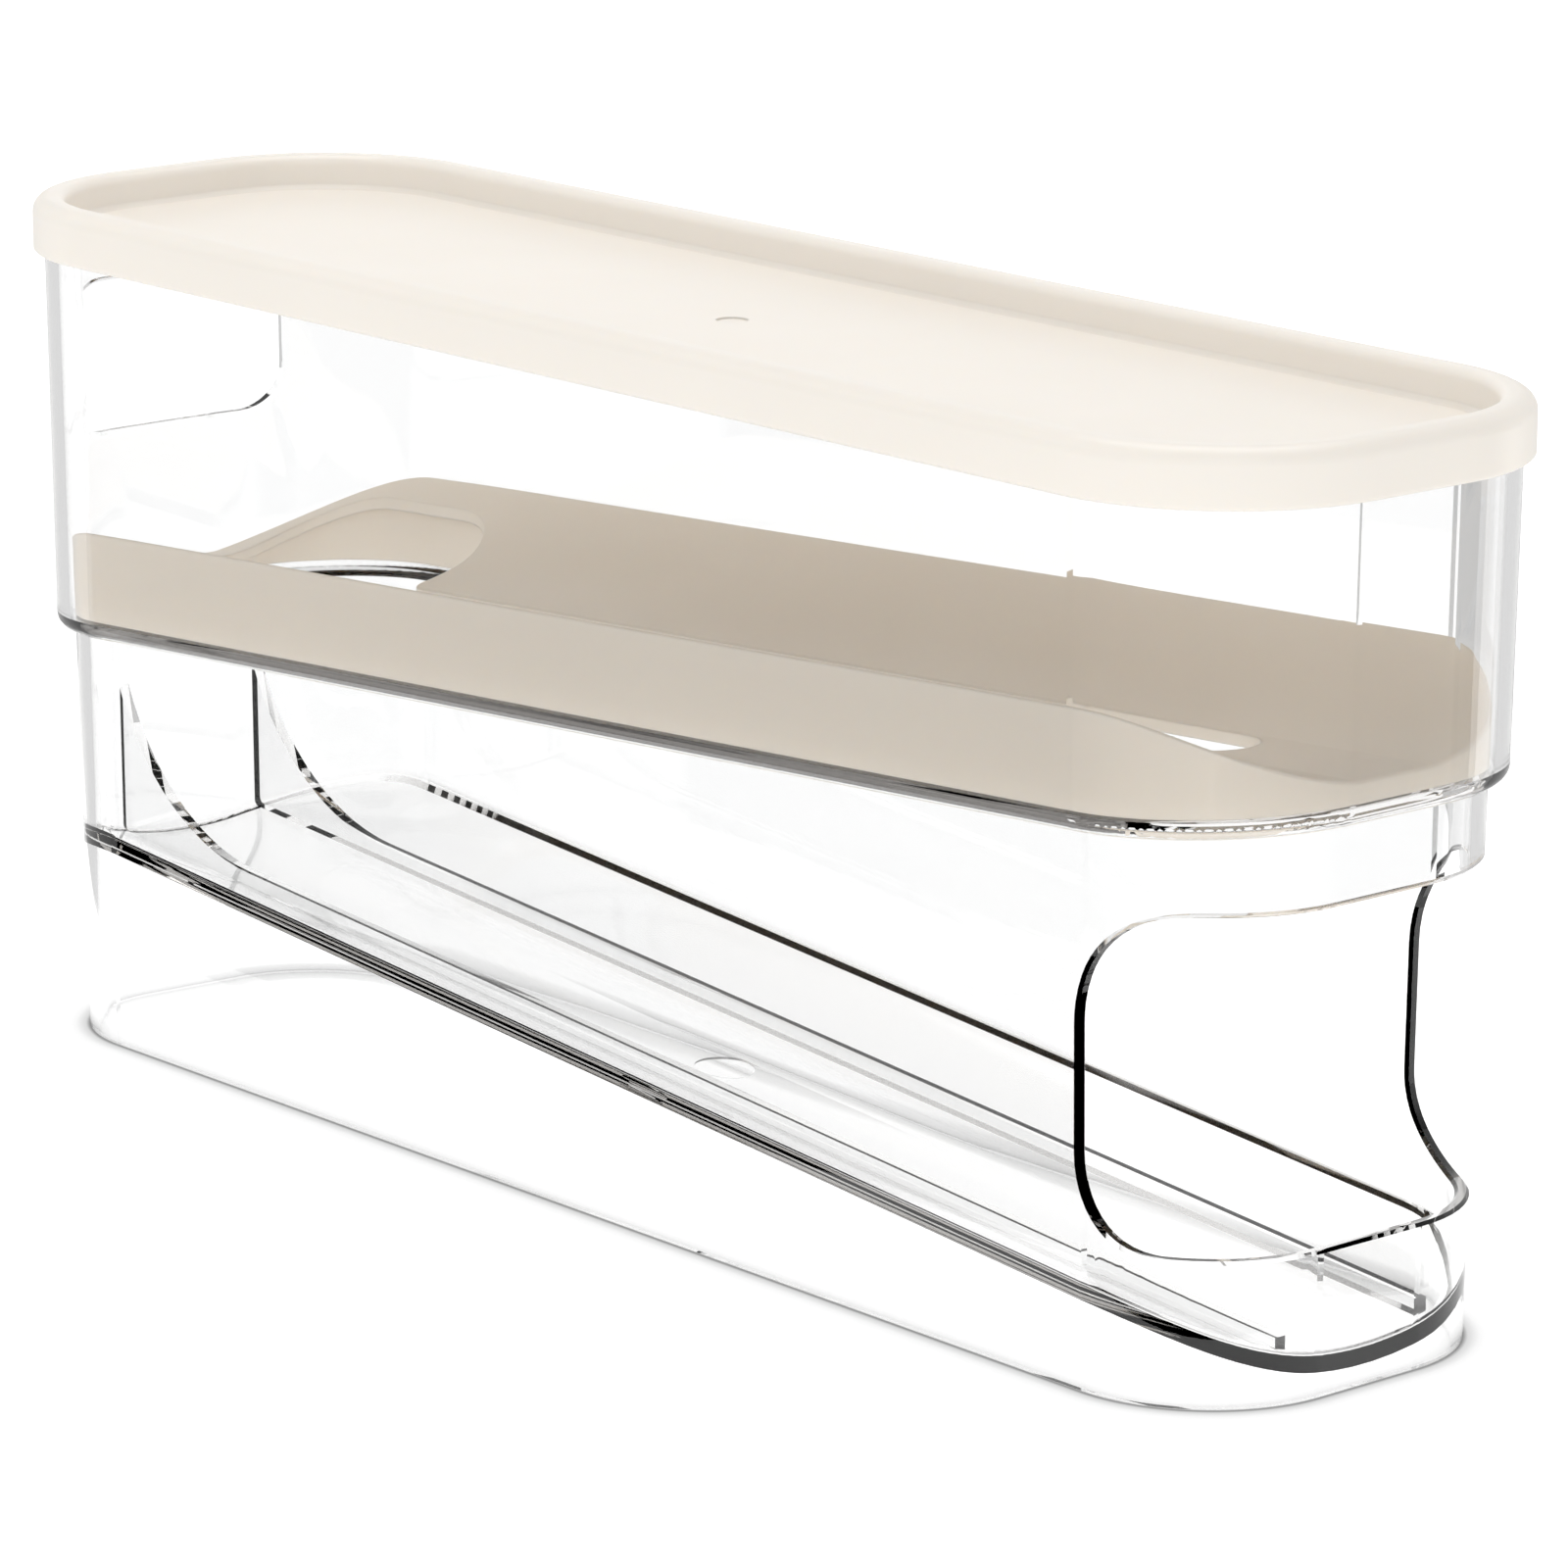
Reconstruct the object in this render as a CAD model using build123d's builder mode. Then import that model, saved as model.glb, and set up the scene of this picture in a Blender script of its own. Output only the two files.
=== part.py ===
from build123d import *
import os
from math import cos, radians, sin, sqrt, tan

# A two-tier kitchen dispenser in three mouldings: a clear body, a lift-out tray and a lid.
# The tray slopes down to a drop hole at the rear, and the ramp under it slopes down to the
# pick-up window at the front.
# X runs along the body and points to the front, Y runs across it and Z is up.
# The origin is the middle of the bottom rim. Lengths are in millimetres, angles in degrees.

# Body outline at the bottom rim. Every other outline is this one, grown by one amount all round.
base_length = 287.2
base_width = 69.3
base_corner_radius = 24.5

# Body walls
body_height = 141.7
wall = 2.2
base_rim = 1.8
lower_draft = 1.0
upper_draft = 0.9
rim_chamfer = 0.6

# Sloping shoulder between the narrow lower section and the wide upper one
shoulder_height = 77.7
shoulder_step = 3.1
shelf_thickness = 2.7
shelf_angle = 3.35
shoulder_rounding = 2.7
shelf_chamfer = 0.8

# Ramp of the lower tier, with its height in the middle of the body
ramp_height = 16.7
ramp_angle = 4.75
ramp_thickness = 2.2
ramp_corner_rounding = 1.2
trough_radius = 64.0

# Guide rails on the ramp, each with a gusset at the rear wall
rail_offset = 14.3
rail_width = 2.0
rail_height = 2.5
rail_front_gap = 2.4
gusset_length = 36.0
gusset_height = 23.0

# Pick-up window round the lower front end
window_rear = 118.0
window_lip = 22.5
window_top = 74.0
window_top_radius = 18.5
window_lip_radius = 13.5
window_chamfer = 0.5

# Finger window in the upper rear wall
finger_window_width = 45.0
finger_window_height = 26.0
finger_window_radius = 8.0
finger_window_centre = 112.3

# Moulding marks where the plastic was let in
ramp_gate_radius = 5.0
ramp_gate_depth = 0.4
lid_gate_radius = 2.5
lid_gate_depth = 0.3

# Egg tray
tray_clearance = 0.8
tray_seat_gap = 0.3
tray_floor_height = 2.9
tray_trough_radius = 59.2
tray_thickness = 1.8
tray_rim_chamfer = 0.4
floor_strip_half_width = 7.6
floor_crease_rounding = 3.0
slot_half_width = 6.4
slot_front = 116.2
drop_hole_length = 50.0
drop_hole_radius = 15.0
drop_hole_rear_margin = 5.5
drop_hole_side_margin = 5.1
slot_mouth_radius = 4.0

# Lid
lid_height = 9.05
lid_wall = 1.4
lid_top_thickness = 1.8
lid_clearance = 0.3
lid_recess = 5.8
lid_panel_thickness = 1.6
lid_outer_rounding = 2.6
lid_inner_rounding = 1.7
lid_recess_chamfer = 0.8
lid_skirt_chamfer = 0.4

# How far a cutting or filling solid runs past the part
overrun = 10.0


def lower_growth(height):
    """How far the lower wall's outer face stands outside the base outline."""
    return height * tan(radians(lower_draft))


def upper_growth(height):
    """How far the upper wall's outer face stands outside the base outline."""
    above_shoulder = (height - shoulder_height) * tan(radians(upper_draft))
    return lower_growth(shoulder_height) + shoulder_step + above_shoulder


def outline(growth, mode=Mode.ADD):
    """The base outline grown by one amount all round, in the sketch being made."""
    length = base_length + 2 * growth
    width = base_width + 2 * growth
    RectangleRounded(length, width, base_corner_radius + growth, mode=mode)


def drafted_block(low, high, growth, draft):
    """Solid between two heights whose outline starts at one growth and widens by a draft angle."""
    with BuildPart() as block:
        with BuildSketch(Plane.XY.offset(low)):
            outline(growth)
        extrude(amount=high - low, taper=-draft)
    return block.part


def trough_sag(distance, radius):
    """How far a trough's surface has risen at a distance from its middle."""
    return radius - sqrt(radius**2 - distance**2)


half_length = base_length / 2
reach = half_length + upper_growth(body_height) + overrun
half_reach = base_width / 2 + upper_growth(body_height) + overrun

# Underside of the shoulder, the ledge inside it and the tray's bottom edge: three parallel planes
shoulder_plane = Plane.XY.offset(shoulder_height).rotated((0, -shelf_angle, 0))
shelf_plane = shoulder_plane.offset(shelf_thickness)
tray_plane = shelf_plane.offset(tray_seat_gap)
shoulder_low = shoulder_height - reach * tan(radians(shelf_angle))


def upper_block(inset, floor_plane, high, rounding):
    """Upper section inset from the body's outer face, standing on a sloping plane."""
    with BuildPart() as block:
        low_growth = upper_growth(shoulder_low) - inset
        add(drafted_block(shoulder_low, high, low_growth, upper_draft))
        split(bisect_by=floor_plane, keep=Keep.TOP)
        if rounding:
            fillet(block.faces().sort_by(Axis.Z)[0].edges(), rounding)
    return block.part


def trough_side(section, radius, level, far_side, flat=0.0):
    """Solid between a trough surface and a flat far side, along a section plane's normal.

    The trough's middle can be flat, out to a distance on each side.
    """
    flat_level = level + trough_sag(flat, radius)
    halfway = (flat + half_reach) / 2
    halfway_level = level + trough_sag(halfway, radius)
    rise = level + trough_sag(half_reach, radius)
    with BuildPart() as filled:
        with BuildSketch(section) as profile:
            with BuildLine():
                for side in (-1, 1):
                    ThreePointArc(
                        (side * flat, flat_level),
                        (side * halfway, halfway_level),
                        (side * half_reach, rise),
                    )
                if flat:
                    Line((-flat, flat_level), (flat, flat_level))
                Polyline(
                    (half_reach, rise),
                    (half_reach, far_side),
                    (-half_reach, far_side),
                    (-half_reach, rise),
                )
            make_face()
            if flat:
                fillet(profile.vertices().sort_by(Axis.Y)[:2], floor_crease_rounding)
        extrude(amount=reach, both=True)
    return filled.part


# Section planes across the two slopes: x runs across the body and y stands square to the slope
ramp_section = Plane(
    origin=(0, 0, ramp_height),
    x_dir=(0, 1, 0),
    z_dir=(cos(radians(ramp_angle)), 0, -sin(radians(ramp_angle))),
)
tray_section = Plane(
    origin=tray_plane.origin,
    x_dir=(0, 1, 0),
    z_dir=(cos(radians(shelf_angle)), 0, sin(radians(shelf_angle))),
)

# Lane of the lower tier: the room inside the walls, above the ramp
with BuildPart() as lane:
    add(drafted_block(0, body_height, -wall, lower_draft))
    add(trough_side(ramp_section, trough_radius, 0, -reach), mode=Mode.SUBTRACT)
    fillet(lane.faces().sort_by(Axis.Z)[0].edges(), ramp_corner_rounding)

# Room inside the walls: the lane and the wider upper section, with the ledge's inner edge rounded
with BuildPart() as inside_room:
    add(upper_block(wall, shelf_plane, body_height, 0))
    add(lane.part)
    shelf_face = inside_room.faces().filter_by(shelf_plane)[0]
    chamfer(shelf_face.inner_wires()[0].edges(), shelf_chamfer)

# Room under the ramp, open at the bottom
with BuildPart() as under_room:
    add(drafted_block(0, shoulder_height, -base_rim, 0))
    under_radius = trough_radius + ramp_thickness
    add(trough_side(ramp_section, under_radius, -ramp_thickness, reach), mode=Mode.SUBTRACT)


def height_over_ramp(x, distance):
    """Height of a line that lies a distance square above the middle of the ramp."""
    return ramp_height + distance / cos(radians(ramp_angle)) - x * tan(radians(ramp_angle))


# Rails and gussets, which run into the walls by half a wall
rail_top = trough_sag(rail_offset, trough_radius) + rail_height
rail_front = half_length - wall - rail_front_gap
rear_inside = wall - half_length - lower_growth(height_over_ramp(-half_length, rail_top))
rear_in_wall = rear_inside - wall / 2
gusset_foot = rear_inside + gusset_length
with BuildPart() as rails:
    with BuildSketch(ramp_section):
        with Locations((-rail_offset, rail_top), (rail_offset, rail_top)):
            depth = rail_height + ramp_thickness / 2
            Rectangle(rail_width, depth, align=(Align.CENTER, Align.MAX))
    extrude(amount=reach, both=True)
    split(bisect_by=Plane.YZ.offset(rail_front), keep=Keep.BOTTOM)
    for side in (-1, 1):
        with BuildSketch(Plane.XZ.offset(side * rail_offset)):
            with BuildLine():
                foot = (gusset_foot, height_over_ramp(gusset_foot, rail_top))
                tip = (rear_inside, height_over_ramp(rear_inside, rail_top) + gusset_height)
                uphill = (-cos(radians(ramp_angle)), sin(radians(ramp_angle)))
                TangentArc(foot, tip, tangent=uphill)
                Polyline(
                    tip,
                    (rear_in_wall, tip[1]),
                    (rear_in_wall, height_over_ramp(rear_in_wall, rail_top - rail_height)),
                    (gusset_foot, height_over_ramp(gusset_foot, rail_top - rail_height)),
                    foot,
                )
            make_face()
        extrude(amount=rail_width / 2, both=True)
    add(drafted_block(0, body_height, -wall / 2, lower_draft), mode=Mode.INTERSECT)

with BuildPart() as body:
    add(drafted_block(0, body_height - wall, 0, lower_draft))
    add(upper_block(0, shoulder_plane, body_height, shoulder_rounding))
    add(inside_room.part, mode=Mode.SUBTRACT)
    add(under_room.part, mode=Mode.SUBTRACT)
    add(rails.part)

    # Pick-up window
    with BuildSketch(Plane.XZ) as window:
        with Locations((window_rear, window_lip)):
            Rectangle(reach, window_top - window_lip, align=(Align.MIN, Align.MIN))
        fillet(window.vertices().sort_by(Axis.Y)[:2].sort_by(Axis.X)[0], window_lip_radius)
        fillet(window.vertices().sort_by(Axis.Y)[-2:].sort_by(Axis.X)[0], window_top_radius)
    extrude(amount=half_reach, both=True, mode=Mode.SUBTRACT)
    chamfer(body.edges(Select.NEW), window_chamfer)

    # Finger window
    with BuildSketch(Plane.YZ.offset(-reach)):
        with Locations((0, finger_window_centre)):
            RectangleRounded(finger_window_width, finger_window_height, finger_window_radius)
    extrude(amount=reach / 2, mode=Mode.SUBTRACT)
    chamfer(body.edges(Select.NEW), window_chamfer)

    # Gate well under the middle of the ramp
    with BuildSketch(Plane.XY.offset(ramp_height - ramp_thickness).rotated((0, ramp_angle, 0))):
        Circle(ramp_gate_radius)
    extrude(amount=ramp_gate_depth, both=True, mode=Mode.SUBTRACT)

    chamfer(body.faces().sort_by(Axis.Z)[-1].edges(), rim_chamfer)

body.part.label = "body"

# Egg tray: a trough on a skirt, cut by the slot and the drop hole
tray_inset = wall + tray_clearance
tray_growth = upper_growth(shoulder_height) - tray_inset
drop_hole_rear = drop_hole_rear_margin - half_length - tray_growth
drop_hole_front = drop_hole_rear + drop_hole_length
drop_hole_middle = (drop_hole_rear + drop_hole_front) / 2
drop_hole_width = base_width + 2 * (tray_growth - drop_hole_side_margin)
under_level = tray_floor_height - tray_thickness
with BuildPart() as skirt_room:
    add(upper_block(tray_inset + tray_thickness, tray_plane, body_height, 0))
    add(
        trough_side(tray_section, tray_trough_radius + tray_thickness, under_level, reach),
        mode=Mode.SUBTRACT,
    )
with BuildPart() as egg_tray:
    add(upper_block(tray_inset, tray_plane, body_height, 0))
    add(
        trough_side(
            tray_section, tray_trough_radius, tray_floor_height, reach, floor_strip_half_width
        ),
        mode=Mode.SUBTRACT,
    )
    chamfer(egg_tray.edges(Select.NEW), tray_rim_chamfer)
    add(skirt_room.part, mode=Mode.SUBTRACT)
    with BuildSketch(Plane.XY.offset(shoulder_low)) as floor_cut:
        with Locations((drop_hole_middle, 0)):
            RectangleRounded(drop_hole_length, drop_hole_width, drop_hole_radius)
        with Locations(((slot_front + drop_hole_middle) / 2, 0)):
            SlotOverall(slot_front - drop_hole_middle, 2 * slot_half_width)
        slot_mouth = floor_cut.vertices().filter_by_position(
            Axis.X, drop_hole_front - overrun / 2, drop_hole_front + overrun / 2
        )
        slot_mouth = slot_mouth.filter_by_position(Axis.Y, -slot_half_width, slot_half_width)
        fillet(slot_mouth, slot_mouth_radius)
    extrude(amount=body_height, mode=Mode.SUBTRACT)

egg_tray.part.label = "egg_tray"

# Lid: a panel inside a rim that straddles the body's top edge
lid_bottom = body_height + lid_top_thickness - lid_height
panel_top = body_height + lid_top_thickness - lid_recess
panel_bottom = panel_top - lid_panel_thickness
rim_growth = upper_growth(body_height)
channel_outer = rim_growth + lid_clearance
channel_inner = rim_growth - wall - lid_clearance
with BuildPart() as lid:
    with BuildSketch(Plane.XY.offset(lid_bottom)):
        outline(channel_outer + lid_wall)
    extrude(amount=lid_height)
    with BuildSketch(Plane.XY.offset(panel_top)):
        outline(channel_inner - lid_wall)
    extrude(amount=lid_recess, mode=Mode.SUBTRACT)
    chamfer(lid.edges(Select.LAST).group_by(Axis.Z)[0], lid_recess_chamfer)
    with BuildSketch(Plane.XY.offset(lid_bottom)):
        outline(channel_outer)
    extrude(amount=panel_bottom - lid_bottom, mode=Mode.SUBTRACT)
    with BuildSketch(Plane.XY.offset(panel_bottom)):
        outline(channel_outer)
        outline(channel_inner, mode=Mode.SUBTRACT)
    extrude(amount=body_height - panel_bottom, mode=Mode.SUBTRACT)
    rim_face = lid.faces().sort_by(Axis.Z)[-1]
    rim_outer = rim_face.outer_wire().edges()
    rim_inner = rim_face.inner_wires()[0].edges()
    fillet(rim_outer, lid_outer_rounding)
    fillet(rim_inner, lid_inner_rounding)
    chamfer(lid.faces().sort_by(Axis.Z)[0].edges(), lid_skirt_chamfer)

    # Mark in the middle of the panel where the plastic was let in
    with BuildSketch(Plane.XY.offset(panel_top)):
        Circle(lid_gate_radius)
    extrude(amount=-lid_gate_depth, mode=Mode.SUBTRACT)

lid.part.label = "lid"

os.makedirs("parts", exist_ok=True)
export_step(body.part, "parts/body.step")
export_step(egg_tray.part, "parts/egg_tray.step")
export_step(lid.part, "parts/lid.step")
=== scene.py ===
# %% [markdown]
# # A clear two-tier dispenser with an ivory tray and lid
#
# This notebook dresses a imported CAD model. The three mouldings come in as a fixed frame, in metres,
# with X along the object, Y across it and Z up. What is left to Blender is what the eye judges: the
# finish of each plastic, the studio round it and the camera. It reads nothing from disk but that frame.

# %% The frame
import math

import bmesh
import bpy
from mathutils import Matrix, Vector


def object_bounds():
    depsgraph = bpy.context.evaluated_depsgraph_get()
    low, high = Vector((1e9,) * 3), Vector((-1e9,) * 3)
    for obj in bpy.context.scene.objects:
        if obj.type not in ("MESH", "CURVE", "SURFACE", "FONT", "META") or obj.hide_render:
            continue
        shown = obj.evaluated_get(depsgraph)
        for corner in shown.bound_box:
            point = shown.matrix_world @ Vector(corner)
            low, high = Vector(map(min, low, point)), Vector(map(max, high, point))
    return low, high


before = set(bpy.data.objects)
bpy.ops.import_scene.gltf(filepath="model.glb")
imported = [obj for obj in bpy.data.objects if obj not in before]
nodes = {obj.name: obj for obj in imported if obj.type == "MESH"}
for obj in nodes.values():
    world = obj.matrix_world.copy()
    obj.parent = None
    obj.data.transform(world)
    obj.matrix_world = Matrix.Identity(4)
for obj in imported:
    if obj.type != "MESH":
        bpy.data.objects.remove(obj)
cad_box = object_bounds()
for name, node in sorted(nodes.items()):
    print(name, "has", len(node.data.polygons), "faces")

# %% [markdown]
# ## The camera
#
# A product photographer stands well back with a long lens, so that the long side barely tapers. The
# camera could be placed by eye, but here it is worked out from the photograph: where it stands round
# the object, how high, how far away and how long its lens is. The aim point is the middle of the
# object. The lens axis meets the picture a little up and left of its centre, which is a small shift and
# not a turn.

# %% Where the camera stands
PICTURE_SIDE = 1600
CAMERA_AZIMUTH = math.radians(49.29)
CAMERA_ELEVATION = math.radians(13.67)
CAMERA_ROLL = math.radians(0.182)
CAMERA_DISTANCE = 1.1707
FOCAL_PIXELS = 7533
AXIS_PIXEL = (745.8, 744.2)

low, high = cad_box
aim = Vector((0, 0, (low.z + high.z) / 2))
level_back = Vector((math.sin(CAMERA_AZIMUTH), -math.cos(CAMERA_AZIMUTH), 0))
level_right = Vector((math.cos(CAMERA_AZIMUTH), math.sin(CAMERA_AZIMUTH), 0))
back = level_back * math.cos(CAMERA_ELEVATION) + Vector((0, 0, math.sin(CAMERA_ELEVATION)))
right = Matrix.Rotation(CAMERA_ROLL, 3, back) @ level_right
up = back.cross(right)
print("camera stands towards", [round(v, 3) for v in back])

# %% [markdown]
# The turn of the camera is a matrix whose columns are the directions that point right, up and back from
# it. Building it from those three is clearer than three Euler angles, because each can be checked by
# itself.

# %% The camera itself
SENSOR_WIDTH = 36
CLIP_NEAR = 0.05
CLIP_FAR = 60

camera_data = bpy.data.cameras.new("camera")
camera_data.sensor_width = SENSOR_WIDTH
camera_data.lens = FOCAL_PIXELS / PICTURE_SIDE * SENSOR_WIDTH
camera_data.shift_x = 0.5 - AXIS_PIXEL[0] / PICTURE_SIDE
camera_data.shift_y = AXIS_PIXEL[1] / PICTURE_SIDE - 0.5
camera_data.clip_start = CLIP_NEAR
camera_data.clip_end = CLIP_FAR
camera = bpy.data.objects.new("camera", camera_data)
camera_turn = Matrix((right, up, back)).transposed().to_4x4()
camera.matrix_world = Matrix.Translation(aim + back * CAMERA_DISTANCE) @ camera_turn
bpy.context.scene.collection.objects.link(camera)
bpy.context.scene.camera = camera
print("lens", round(camera_data.lens, 1), "mm, standing", CAMERA_DISTANCE, "m away")

# %% [markdown]
# ## Paper that glows
#
# Clear plastic shows only what it bends or mirrors, so the room matters more here than the material.
# The room is what photographers of glass call a bright field: everything straight behind the object is
# white, and its edges draw themselves dark where they bend the view away to a darker place. The paper
# on the floor could be lit by lamps, but each wall of plastic takes a little of its light, and behind
# two of them white would turn grey. So it glows by itself, a little over white. One function makes it,
# and the cards that come later.

# %% Glowing paper
PAPER_ROUGHNESS = 0.9

def grey(level):
    return (level, level, level, 1)

def glowing_material(name, shade, strength):
    material = bpy.data.materials.new(name)
    material.use_nodes = True
    shader = material.node_tree.nodes["Principled BSDF"]
    shader.inputs["Base Color"].default_value = grey(shade)
    shader.inputs["Roughness"].default_value = PAPER_ROUGHNESS
    shader.inputs["Specular IOR Level"].default_value = 0.0
    shader.inputs["Emission Color"].default_value = grey(1)
    shader.inputs["Emission Strength"].default_value = strength
    print(name, "glows at", strength)
    return material

# %% [markdown]
# ## The contact shadow
#
# Paper that glows takes no shadow, and an object without one seems to float. So the glow is turned down
# round the foot, where real paper would get no light. A painted image could do it, but a sum needs no
# file and is sharp at any size. The foot is a rectangle with round corners. To find how far a point
# lies from its edge, fold the plane into one corner, take off the straight part of the sides, and
# measure how far is left to the corner's arc. A small helper adds one step of such a sum to a node
# tree.

# %% Distance from the foot
NUMBERS = "ShaderNodeMath"
VECTORS = "ShaderNodeVectorMath"
FOOT_HALF_SIDES = (0.1436, 0.03465)
FOOT_CORNER_RADIUS = 0.0245

def add_step(tree, kind, operation, value, other=None):
    step = tree.nodes.new(kind)
    step.operation = operation
    tree.links.new(value, step.inputs[0])
    if other is not None:
        step.inputs[1].default_value = other
    return step.outputs

def distance_from_foot(tree):
    straight_sides = [side - FOOT_CORNER_RADIUS for side in FOOT_HALF_SIDES]
    here = tree.nodes.new("ShaderNodeTexCoord").outputs["Object"]
    flat = add_step(tree, VECTORS, "MULTIPLY", here, (1, 1, 0))["Vector"]
    folded = add_step(tree, VECTORS, "ABSOLUTE", flat)["Vector"]
    past_sides = add_step(tree, VECTORS, "SUBTRACT", folded, (*straight_sides, 0))["Vector"]
    outside = add_step(tree, VECTORS, "MAXIMUM", past_sides, (0, 0, 0))["Vector"]
    from_centre = add_step(tree, VECTORS, "LENGTH", outside)["Value"]
    from_edge = add_step(tree, NUMBERS, "SUBTRACT", from_centre, FOOT_CORNER_RADIUS)["Value"]
    return add_step(tree, NUMBERS, "ABSOLUTE", from_edge)["Value"]

print("foot", [round(2 * side, 4) for side in FOOT_HALF_SIDES], "m")

# %% [markdown]
# A colour ramp turns that distance into a share of the paper's glow. It is steep at the edge, where
# hardly any light gets in, and reaches the full glow a few millimetres away. Each stop below is a place
# along the shadow's reach and the share of the glow that is left there.

# %% Contact shadow
SHADOW_REACH = 0.007
SHADOW_STOPS = ((0, 0.15), (0.1, 0.5), (0.35, 0.7), (0.7, 0.79), (1, 1))

def add_contact_shadow(tree, glow):
    fade = tree.nodes.new("ShaderNodeMapRange")
    fade.inputs["From Max"].default_value = SHADOW_REACH
    tree.links.new(distance_from_foot(tree), fade.inputs["Value"])
    softness = tree.nodes.new("ShaderNodeValToRGB")
    stops = softness.color_ramp.elements
    for place, _ in SHADOW_STOPS[1:-1]:
        stops.new(place)
    for stop, (place, share) in zip(stops, SHADOW_STOPS):
        stop.position = place
        stop.color = grey(share)
    tree.links.new(fade.outputs["Result"], softness.inputs["Fac"])
    tree.links.new(softness.outputs["Color"], glow)
    print("contact shadow of", len(stops), "stops over", SHADOW_REACH, "m")

# %% [markdown]
# ## The floor
#
# The floor is one flat square, so large that its edge stays far away. It lies a hair under the foot,
# because two surfaces at the same height would fight over which is in front.

# %% Floor
FLOOR_HALF = 12.0
FLOOR_DROP = 0.0002
FLOOR_GLOW = 1.25
FLOOR_SHADE = 0.1

def make_floor():
    mesh = bpy.data.meshes.new("floor")
    shape = bmesh.new()
    bmesh.ops.create_grid(shape, x_segments=1, y_segments=1, size=FLOOR_HALF)
    bmesh.ops.translate(shape, verts=shape.verts, vec=(0, 0, -FLOOR_DROP))
    shape.to_mesh(mesh)
    shape.free()
    paper = glowing_material("studio_paper", FLOOR_SHADE, FLOOR_GLOW)
    shader = paper.node_tree.nodes["Principled BSDF"]
    add_contact_shadow(paper.node_tree, shader.inputs["Emission Color"])
    mesh.materials.append(paper)
    floor = bpy.data.objects.new("floor", mesh)
    bpy.context.scene.collection.objects.link(floor)

make_floor()
print("floor", 2 * FLOOR_HALF, "m across")

# %% [markdown]
# ## The room
#
# The world could be a panorama of a real studio, but a few named greys are easier to reason about. Its
# colour here is a function of direction. A white wall stands behind the object, and the flat top of the
# lid mirrors it, because a surface seen at such a low angle is a strong mirror. Round the sides the
# room is nearly white. Overhead it is dark, so that every rounded edge that bends the view upwards
# turns dark. The height part of a direction, which is the sine of its angle above the floor, fades the
# sides into the ceiling.

# %% Sides and ceiling
ROOM_SIDE = 0.9
ROOM_CEILING = 0.15
SIDES_UP_TO = 0.25
CEILING_FROM = 0.75

world = bpy.data.worlds.new("bright_field")
world.use_nodes = True
bpy.context.scene.world = world
sky = world.node_tree
direction = sky.nodes.new("ShaderNodeTexCoord").outputs["Generated"]
split_direction = sky.nodes.new("ShaderNodeSeparateXYZ")
sky.links.new(direction, split_direction.inputs["Vector"])

height_ramp = sky.nodes.new("ShaderNodeValToRGB")
side_stop, ceiling_stop = height_ramp.color_ramp.elements
side_stop.position = SIDES_UP_TO
side_stop.color = grey(ROOM_SIDE)
ceiling_stop.position = CEILING_FROM
ceiling_stop.color = grey(ROOM_CEILING)
sky.links.new(split_direction.outputs["Z"], height_ramp.inputs["Fac"])
print("room: sides", ROOM_SIDE, "ceiling", ROOM_CEILING)

# %% [markdown]
# The dot product of a direction with the level way that the camera looks is the cosine of the angle
# between them, and the middle of the white wall is straight that way. The wall is full white within one
# angle and gone beyond another, with a soft border between.

# %% The white wall
ROOM_WALL = 1.05
WALL_WITHIN = math.radians(24)
WALL_GONE_BEYOND = math.radians(48)

towards_wall = add_step(sky, VECTORS, "DOT_PRODUCT", direction, -level_back)["Value"]
wall_share = sky.nodes.new("ShaderNodeMapRange")
wall_share.interpolation_type = "SMOOTHSTEP"
wall_share.inputs["From Min"].default_value = math.cos(WALL_GONE_BEYOND)
wall_share.inputs["From Max"].default_value = math.cos(WALL_WITHIN)
sky.links.new(towards_wall, wall_share.inputs["Value"])

room_colour = sky.nodes.new("ShaderNodeMix")
room_colour.data_type = "RGBA"
room_colour.inputs["B"].default_value = grey(ROOM_WALL)
sky.links.new(wall_share.outputs["Result"], room_colour.inputs["Factor"])
sky.links.new(height_ramp.outputs["Color"], room_colour.inputs["A"])
sky.links.new(room_colour.outputs["Result"], sky.nodes["Background"].inputs["Color"])
print("room: wall", ROOM_WALL)

# %% [markdown]
# ## Soft boxes
#
# Ivory plastic wants broad, soft light, or its rounded rim breaks into hard streaks. One large box
# hangs over the lid. Two smaller ones stand in front, one well to the left and one just right of the
# camera. Point lamps would be quicker to place, but their shadow edges and pin-sharp reflections look
# nothing like a studio.

# %% Soft boxes
# Each row is a name, a place in metres, a side in metres and a power in watts.
SOFT_BOXES = (
    ("overhead", (-0.2, 0.2, 1.6), 1.4, 17),
    ("front_left", (-0.3, -1.4, 0.9), 0.9, 3),
    ("front_right", (1.4, -0.9, 0.9), 1.0, 5),
)

def soft_box(name, place, side, watts):
    light = bpy.data.lights.new(name, "AREA")
    light.shape = "SQUARE"
    light.size = side
    light.energy = watts
    lamp = bpy.data.objects.new(name, light)
    lamp.location = place
    lamp.rotation_euler = (aim - Vector(place)).to_track_quat("-Z", "Y").to_euler()
    bpy.context.scene.collection.objects.link(lamp)
    print("soft box", name, side, "m,", watts, "W")

for name, place, side, watts in SOFT_BOXES:
    soft_box(name, place, side, watts)

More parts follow.
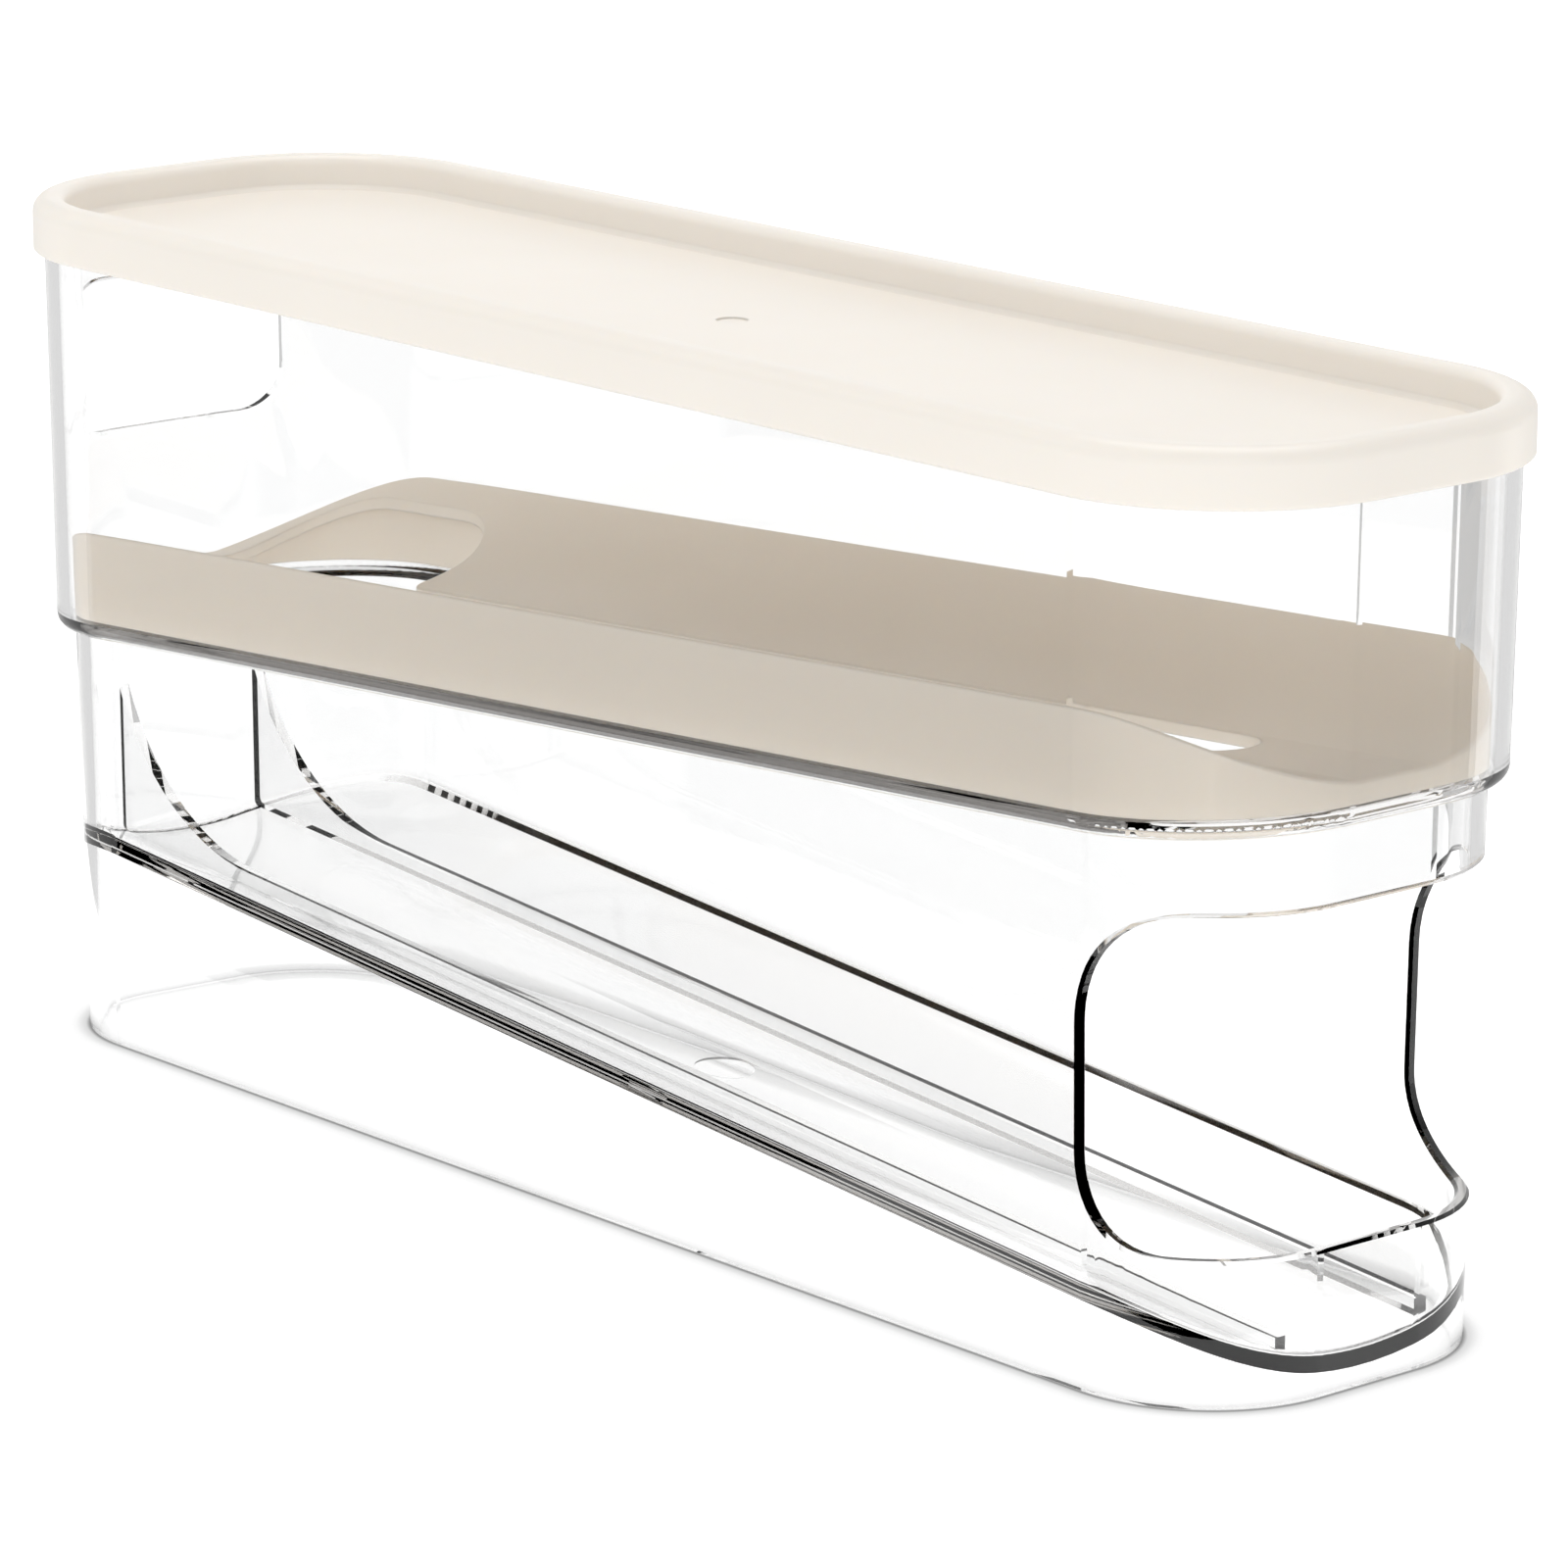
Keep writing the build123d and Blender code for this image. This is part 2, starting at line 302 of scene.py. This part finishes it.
# %% [markdown]
# ## Cards
#
# The upright corners of clear plastic turn the view sideways, and the ledge half way up turns it down
# and forward. With white all round they would vanish, so a photographer stands cards just outside the
# picture: grey ones at the sides, and a black strip low in front, bent round the front end.
#
# A real card would also darken what is seen straight through the plastic. So the left card and the
# strip are clear to a ray until it has been mirrored once, in the plastic or on it, which the Light
# Path node counts. The right card is plain, because the corners at that end also bend the view straight
# out to it.

# %% Card material
MIRRORED_AT_ALL = 0.5

def mirrored_only(material):
    tree = material.node_tree
    path = tree.nodes.new("ShaderNodeLightPath")
    mirrored = add_step(tree, NUMBERS, "GREATER_THAN", path.outputs["Glossy Depth"], MIRRORED_AT_ALL)
    clear = tree.nodes.new("ShaderNodeBsdfTransparent")
    choice = tree.nodes.new("ShaderNodeMixShader")
    tree.links.new(mirrored["Value"], choice.inputs["Fac"])
    tree.links.new(clear.outputs["BSDF"], choice.inputs[1])
    tree.links.new(tree.nodes["Principled BSDF"].outputs["BSDF"], choice.inputs[2])
    tree.links.new(choice.outputs["Shader"], tree.nodes["Material Output"].inputs["Surface"])
    print(material.name, "shows only in mirrored rays")
    return material

# %% [markdown]
# Every card goes into the scene in the same way. The camera never sees it, it doesn't tint the matt
# surfaces and it casts no shadow, so that only clear and glossy surfaces show it.

# %% Placing a card
def place_card(name, shape, material):
    mesh = bpy.data.meshes.new(name)
    shape.to_mesh(mesh)
    shape.free()
    mesh.materials.append(material)
    card = bpy.data.objects.new(name, mesh)
    card.visible_camera = False
    card.visible_diffuse = False
    card.visible_shadow = False
    bpy.context.scene.collection.objects.link(card)
    print(name, "has", len(mesh.polygons), "faces")

# %% [markdown]
# A side card starts as a square metre, is stretched to its size, stood up along the way that the camera
# looks and moved to its side. Its middle may lie behind the object, so that it reaches further back
# than forward.

# %% Side cards
SQUARE_METRE_HALF = 0.5
SIDE_CARD_OFFSET = 0.17
SIDE_CARD_HEIGHT = 0.34
SIDE_CARD_GREY = 0.75
LEFT_CARD_LENGTH = 0.9
LEFT_CARD_BEHIND = 0.0
RIGHT_CARD_LENGTH = 0.45
RIGHT_CARD_BEHIND = 0.17

def side_card(name, side, length, behind, material):
    shape = bmesh.new()
    bmesh.ops.create_grid(shape, x_segments=1, y_segments=1, size=SQUARE_METRE_HALF)
    bmesh.ops.scale(shape, verts=shape.verts, vec=(length, SIDE_CARD_HEIGHT, 1))
    upright = Matrix((-level_back, Vector((0, 0, 1)), level_right)).transposed().to_4x4()
    middle = level_right * side * SIDE_CARD_OFFSET - level_back * behind
    middle.z = SIDE_CARD_HEIGHT / 2
    bmesh.ops.transform(shape, verts=shape.verts, matrix=Matrix.Translation(middle) @ upright)
    place_card(name, shape, material)

left_grey = mirrored_only(glowing_material("card_left", 0.0, SIDE_CARD_GREY))
side_card("card_left", -1, LEFT_CARD_LENGTH, LEFT_CARD_BEHIND, left_grey)
right_grey = glowing_material("card_right", 0.0, SIDE_CARD_GREY)
side_card("card_right", 1, RIGHT_CARD_LENGTH, RIGHT_CARD_BEHIND, right_grey)

# %% [markdown]
# The strip in front is grown instead. One upright edge is extruded along the object's side and then
# spun round the front end. A flat strip could be cut and turned piece by piece, but a spin keeps the
# same distance all the way round.

# %% Front strip
STRIP_REAR = -0.26
STRIP_TURN = 0.1
STRIP_OFFSET = 0.075
STRIP_HEIGHT = 0.16
STRIP_BEND = math.radians(125)
STRIP_BEND_STEPS = 16
STRIP_GREY = 0.0

def front_strip(name, material):
    shape = bmesh.new()
    foot = shape.verts.new((STRIP_REAR, -STRIP_OFFSET, 0))
    top = shape.verts.new((STRIP_REAR, -STRIP_OFFSET, STRIP_HEIGHT))
    edge = shape.edges.new((foot, top))
    grown = bmesh.ops.extrude_edge_only(shape, edges=[edge])["geom"]
    ends = [g for g in grown if isinstance(g, bmesh.types.BMVert)]
    bmesh.ops.translate(shape, verts=ends, vec=(STRIP_TURN - STRIP_REAR, 0, 0))
    last_edge = [g for g in grown if isinstance(g, bmesh.types.BMEdge)]
    bmesh.ops.spin(shape, geom=ends + last_edge, cent=(STRIP_TURN, 0, 0), axis=(0, 0, 1),
                   angle=STRIP_BEND, steps=STRIP_BEND_STEPS)
    place_card(name, shape, material)

front_strip("card_front", mirrored_only(glowing_material("card_front", 0.0, STRIP_GREY)))

# %% [markdown]
# ## Drifts in a surface
#
# No moulding is the same all over, and a perfectly even one looks unreal. An image could be painted on
# it, but that needs an unwrapped surface. Noise that is read from the object's own coordinates needs
# none, and it stays on the piece when the piece moves. Noise seldom leaves the middle of its range, so
# that middle is what gets stretched between two values.

# %% Noise and its range
NOISE_LOW = 0.3
NOISE_HIGH = 0.7

def add_noise(tree, scale, detail, name):
    coordinates = tree.nodes.new("ShaderNodeTexCoord")
    noise = tree.nodes.new("ShaderNodeTexNoise")
    noise.label = name
    noise.inputs["Scale"].default_value = scale
    noise.inputs["Detail"].default_value = detail
    tree.links.new(coordinates.outputs["Object"], noise.inputs["Vector"])
    print(name, "about every", round(1000 / scale), "mm")
    return noise.outputs["Fac"]

def add_range(tree, value, least, most):
    spread = tree.nodes.new("ShaderNodeMapRange")
    spread.inputs["From Min"].default_value = NOISE_LOW
    spread.inputs["From Max"].default_value = NOISE_HIGH
    spread.inputs["To Min"].default_value = least
    spread.inputs["To Max"].default_value = most
    tree.links.new(value, spread.inputs["Value"])
    return spread.outputs["Result"]

# %% [markdown]
# Two more helpers serve both plastics. One mixes a darker and a lighter colour by such a noise. The
# other is bump: the light meets the surface as if it had a fine relief, without a change to its shape.

# %% Colour drift and relief
def add_colour_drift(tree, darker, lighter, noise):
    mix = tree.nodes.new("ShaderNodeMix")
    mix.data_type = "RGBA"
    mix.inputs["A"].default_value = (*darker, 1)
    mix.inputs["B"].default_value = (*lighter, 1)
    tree.links.new(noise, mix.inputs["Factor"])
    return mix.outputs["Result"]

def add_relief(tree, strength, height, noise):
    relief = tree.nodes.new("ShaderNodeBump")
    relief.inputs["Strength"].default_value = strength
    relief.inputs["Distance"].default_value = height
    tree.links.new(noise, relief.inputs["Height"])
    return relief

# %% [markdown]
# ## Ivory plastic
#
# The tray and the lid are moulded in the same warm white polypropylene. It is slightly translucent, so
# light enters it and comes out softened, and its satin skin is finely grained from the mould. One
# function makes both finishes: a faint drift of colour, as pigment never mixes quite evenly, a drift of
# gloss, and the grain as bump. The edges get a Bevel node, which rounds them for the light alone and
# leaves the shape as it is.
#
# The roughness stays above 0.3 everywhere. Where it drifted across about 0.27, the denoised picture of
# the flat lid got blotches.

# %% Ivory
# A noise is its scale, its detail and its label.
IVORY_IOR = 1.49
IVORY_TRANSLUCENCY = 0.15
IVORY_LIGHT_DEPTH = (0.004, 0.003, 0.002)
PIGMENT_NOISE = (14, 3, "pigment drift")
PIGMENT_DARKER = 0.97
PIGMENT_LIGHTER = 1.02
GLOSS_NOISE = (40, 4, "gloss drift")
GLOSS_SMOOTHER = 0.04
GLOSS_ROUGHER = 0.05
GRAIN_NOISE = (260, 1, "mould grain")
GRAIN_STRENGTH = 0.04
GRAIN_HEIGHT = 0.0001
EDGE_RADIUS = 0.0006
EDGE_SAMPLES = 6

def ivory_plastic(name, colour, roughness):
    material = bpy.data.materials.new(name)
    material.use_nodes = True
    tree = material.node_tree
    shader = tree.nodes["Principled BSDF"]
    shader.inputs["IOR"].default_value = IVORY_IOR
    shader.inputs["Subsurface Weight"].default_value = IVORY_TRANSLUCENCY
    shader.inputs["Subsurface Radius"].default_value = IVORY_LIGHT_DEPTH
    shader.inputs["Subsurface Scale"].default_value = 1.0

    darker = [c * PIGMENT_DARKER for c in colour]
    lighter = [min(c * PIGMENT_LIGHTER, 1) for c in colour]
    pigment = add_colour_drift(tree, darker, lighter, add_noise(tree, *PIGMENT_NOISE))
    tree.links.new(pigment, shader.inputs["Base Color"])

    gloss_noise = add_noise(tree, *GLOSS_NOISE)
    gloss = add_range(tree, gloss_noise, roughness - GLOSS_SMOOTHER, roughness + GLOSS_ROUGHER)
    tree.links.new(gloss, shader.inputs["Roughness"])

    soft_edge = tree.nodes.new("ShaderNodeBevel")
    soft_edge.samples = EDGE_SAMPLES
    soft_edge.inputs["Radius"].default_value = EDGE_RADIUS
    grain = add_relief(tree, GRAIN_STRENGTH, GRAIN_HEIGHT, add_noise(tree, *GRAIN_NOISE))
    tree.links.new(soft_edge.outputs["Normal"], grain.inputs["Normal"])
    tree.links.new(grain.outputs["Normal"], shader.inputs["Normal"])
    return material

# %% [markdown]
# The tray gets a slightly warmer ivory and the lid a paler one. Both come from setting the render
# against the photograph, where the tray is seen through the clear wall and the lid in the open.

# %% The tray and the lid
# Each row is a node, the name of its finish, a colour and a roughness.
IVORY_PIECES = (
    ("egg_tray", "ivory_tray", (0.84, 0.765, 0.67), 0.36),
    ("lid", "ivory_lid", (0.86, 0.805, 0.735), 0.35),
)

def dress(node, material):
    node.data.materials.clear()
    node.data.materials.append(material)
    print(node.name, "wears", material.name)

for piece, finish, colour, roughness in IVORY_PIECES:
    dress(nodes[piece], ivory_plastic(finish, colour, roughness))

# %% [markdown]
# ## Clear plastic
#
# The body is clear styrene. It is as clear as glass and bends light a little more, which is why its
# edges look so dark. Glass shaders are easy to overdo: any haze or colour reads as dirt. So the finish
# is a smooth refracting shader with a trace of grey and a very low ripple, the ripple that the melt
# leaves as it sets, which keeps the long straight reflections from looking ruled.
#
# Light that goes straight through a wall crosses two millimetres of plastic. Light that leaves at an
# edge has often run along the wall and crossed many times more. A darker surface colour would grey both
# alike, so the plastic takes a little light for each millimetre instead. The walls stay clear and the
# edges go dark.

# %% Clear
CLEAR_IOR = 1.57
CLARITY_NOISE = (9, 2, "clarity drift")
CLARITY_DARKER = (0.985, 0.988, 0.99)
CLARITY_LIGHTER = (0.995, 0.996, 0.996)
RIPPLE_NOISE = (26, 1, "melt ripple")
RIPPLE_STRENGTH = 0.08
RIPPLE_HEIGHT = 0.0004
ABSORPTION_COLOUR = (0.08, 0.04, 0.0)
ABSORPTION_DENSITY = 11.0

def clear_plastic(name):
    material = bpy.data.materials.new(name)
    material.use_nodes = True
    tree = material.node_tree
    shader = tree.nodes["Principled BSDF"]
    shader.inputs["IOR"].default_value = CLEAR_IOR
    shader.inputs["Transmission Weight"].default_value = 1.0
    shader.inputs["Roughness"].default_value = 0.0

    tint = add_colour_drift(tree, CLARITY_DARKER, CLARITY_LIGHTER, add_noise(tree, *CLARITY_NOISE))
    tree.links.new(tint, shader.inputs["Base Color"])
    ripple = add_relief(tree, RIPPLE_STRENGTH, RIPPLE_HEIGHT, add_noise(tree, *RIPPLE_NOISE))
    tree.links.new(ripple.outputs["Normal"], shader.inputs["Normal"])

    depth = tree.nodes.new("ShaderNodeVolumeAbsorption")
    depth.inputs["Color"].default_value = (*ABSORPTION_COLOUR, 1)
    depth.inputs["Density"].default_value = ABSORPTION_DENSITY
    tree.links.new(depth.outputs["Volume"], tree.nodes["Material Output"].inputs["Volume"])
    return material

dress(nodes["body"], clear_plastic("clear_body"))

# %% [markdown]
# A path tracer aims its shadow rays straight at the lamps, and a solid that bends light stops them. The
# tray would stand in a shade that real clear plastic never casts. Tracing the bent light takes far more
# samples, so the body is simply left out when shadows are worked out.

# %% A body without a shadow
nodes["body"].visible_shadow = False
print("body casts a shadow:", nodes["body"].visible_shadow)

# %% [markdown]
# ## The picture
#
# A path through the near wall, both rails, the ramp and the far wall crosses ten surfaces, and more
# where it is mirrored inside the plastic. So light may bounce many times before it has to stop. The
# plain view transform keeps white paper white.

# %% Picture settings
MOST_BOUNCES = 32
MOST_PASSES_THROUGH = 28
MOST_MIRRORINGS = 12

scene = bpy.context.scene
scene.view_settings.view_transform = "Standard"
scene.cycles.max_bounces = MOST_BOUNCES
scene.cycles.transmission_bounces = MOST_PASSES_THROUGH
scene.cycles.glossy_bounces = MOST_MIRRORINGS
print("light may bounce", MOST_BOUNCES, "times")
